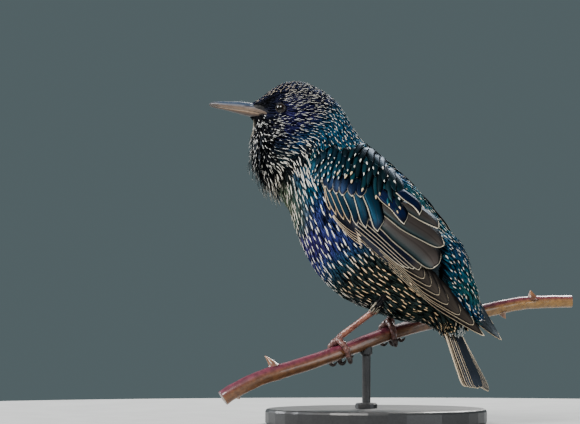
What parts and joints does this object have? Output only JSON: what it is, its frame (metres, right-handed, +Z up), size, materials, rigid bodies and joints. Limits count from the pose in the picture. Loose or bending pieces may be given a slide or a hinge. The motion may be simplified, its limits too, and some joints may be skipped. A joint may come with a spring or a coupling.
{
  "type": "bird model",
  "caption": "Life-size still model of a perched starling in spotted winter plumage, gripping a short cut branch held by a plain display stand.",
  "frame": {"origin": "middle of the stand base's underside", "axes": "+Z up, the bird faces -X and its left side is -Y; its head turns 25 degrees to its left"},
  "size_m": [0.1715, 0.1486, 0.1847],
  "materials": {
    "plumage_head": "black plumage with a purple and blue gloss and small white dots",
    "plumage_neck": "black plumage with a green and purple gloss and pale feather tips",
    "plumage_body": "dark green-blue glossy plumage with buff and white spots",
    "plumage_wing": "dark brown flight feathers with cream edges and teal coverts with buff drop spots",
    "plumage_tail": "grey-brown tail feathers with narrow cream edges",
    "bill_horn": "horn, grey on the ridge and beige-brown on the sides",
    "eye_gloss": "dark brown, wet gloss",
    "leg_skin": "scaled skin, reddish brown",
    "claw_horn": "dark horn",
    "branch_bark": "smooth young bark, dull red above and olive below",
    "stand_paint": "satin dark grey paint"
  },
  "bodies": {
    "root": {"head": "plumage_head", "bill_upper": "bill_horn", "bill_lower": "bill_horn", "eye_left": "eye_gloss", "eye_right": "eye_gloss", "neck": "plumage_neck", "torso": "plumage_body", "wing_left": "plumage_wing", "wing_right": "plumage_wing", "tail": "plumage_tail", "thigh_left": "plumage_body", "thigh_right": "plumage_body", "leg_left": "leg_skin", "leg_right": "leg_skin", "foot_left": "leg_skin", "foot_right": "leg_skin", "claw_inner_left": "claw_horn", "claw_middle_left": "claw_horn", "claw_outer_left": "claw_horn", "claw_hind_left": "claw_horn", "claw_inner_right": "claw_horn", "claw_middle_right": "claw_horn", "claw_outer_right": "claw_horn", "claw_hind_right": "claw_horn", "perch_stem": "branch_bark", "stand_base": "stand_paint", "stand_rod": "stand_paint"}
  },
  "joints": []
}
